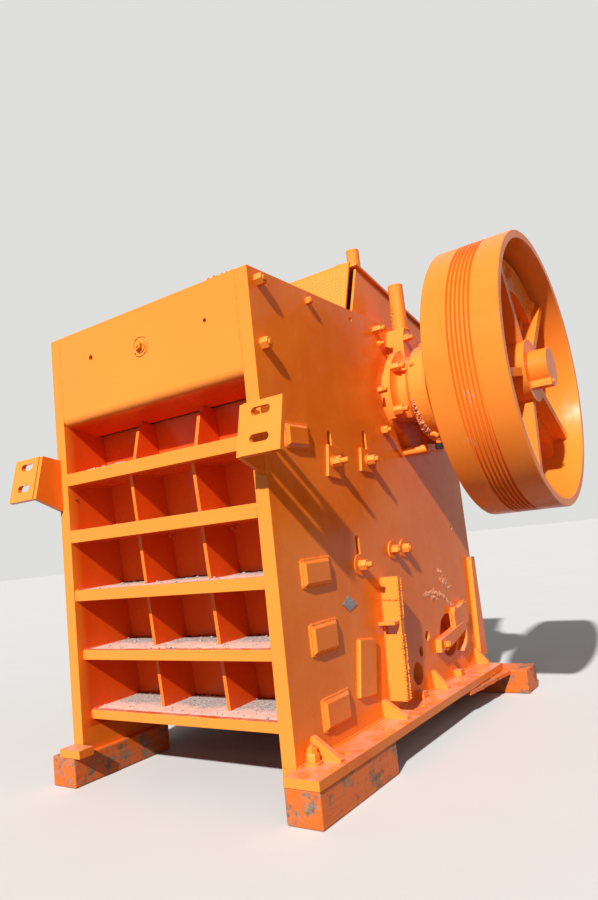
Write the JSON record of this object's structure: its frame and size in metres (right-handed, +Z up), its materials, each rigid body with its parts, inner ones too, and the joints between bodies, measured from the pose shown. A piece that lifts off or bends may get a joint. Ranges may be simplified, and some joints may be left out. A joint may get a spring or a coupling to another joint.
{
  "type": "jaw crusher",
  "caption": "Overhead-eccentric jaw crusher: ribbed front frame, side plates, pitman and jaw plates, toggle, and a shaft that turns with a grooved drive sheave and a flywheel.",
  "frame": {"origin": "on the ground plane, below the middle of the machine's length and width", "axes": "+X towards the grooved drive sheave along the shaft, -Y towards the ribbed front, +Z up"},
  "size_m": [3.744, 3.07, 3.272],
  "materials": {
    "orange_enamel_plate": "glossy orange enamel over welded plate, weathered",
    "orange_enamel_casting": "glossy orange enamel over casting",
    "manganese_steel": "worn and lightly rusted",
    "dark_steel": "dull, rusted",
    "oversprayed_timber": "weathered timber with orange overspray"
  },
  "bodies": {
    "frame": {"side_plate_right": "orange_enamel_plate", "side_plate_left": "orange_enamel_plate", "base_flange_right": "orange_enamel_plate", "base_flange_left": "orange_enamel_plate", "front_wall": "orange_enamel_plate", "front_rib_1": "orange_enamel_plate", "front_rib_2": "orange_enamel_plate", "front_rib_3": "orange_enamel_plate", "front_rib_4": "orange_enamel_plate", "front_rib_5": "orange_enamel_plate", "rib_gussets": "orange_enamel_plate", "top_front_plate": "orange_enamel_plate", "fixed_jaw_plate": "manganese_steel", "cheek_plate_right": "manganese_steel", "cheek_plate_left": "manganese_steel", "bearing_housing_right": "orange_enamel_casting", "bearing_housing_left": "orange_enamel_casting", "pitman": "orange_enamel_casting", "moving_jaw_plate": "manganese_steel", "pitman_guard": "orange_enamel_plate", "hood_side_right": "orange_enamel_plate", "hood_side_left": "orange_enamel_plate", "hood_top": "orange_enamel_plate", "hood_back": "orange_enamel_plate", "lifting_bosses": "orange_enamel_plate", "housing_pipe_right": "orange_enamel_plate", "housing_pipe_left": "orange_enamel_plate", "toggle_plate": "dark_steel", "toggle_beam": "dark_steel", "tension_rod": "dark_steel", "tension_spring": "dark_steel", "rear_wall": "orange_enamel_plate", "slotted_bracket_right": "orange_enamel_plate", "slotted_bracket_left": "orange_enamel_plate", "stiffener_bars": "orange_enamel_plate", "rear_edge_bars": "orange_enamel_plate", "toggle_clamp_right": "orange_enamel_plate", "toggle_clamp_left": "orange_enamel_plate", "sleeper_front_right": "oversprayed_timber", "sleeper_front_left": "oversprayed_timber", "sleeper_rear": "oversprayed_timber"},
    "rotor": {"eccentric_shaft": "orange_enamel_plate", "drive_sheave": "orange_enamel_casting", "flywheel": "orange_enamel_casting", "shaft_keys": "orange_enamel_plate"}
  },
  "joints": [
    {"name": "shaft_turn", "type": "hinge", "parent": "frame", "child": "rotor", "pos_m": [0, 0.30379, 2.177], "axis": [1, 0, 0], "continuous": true}
  ]
}
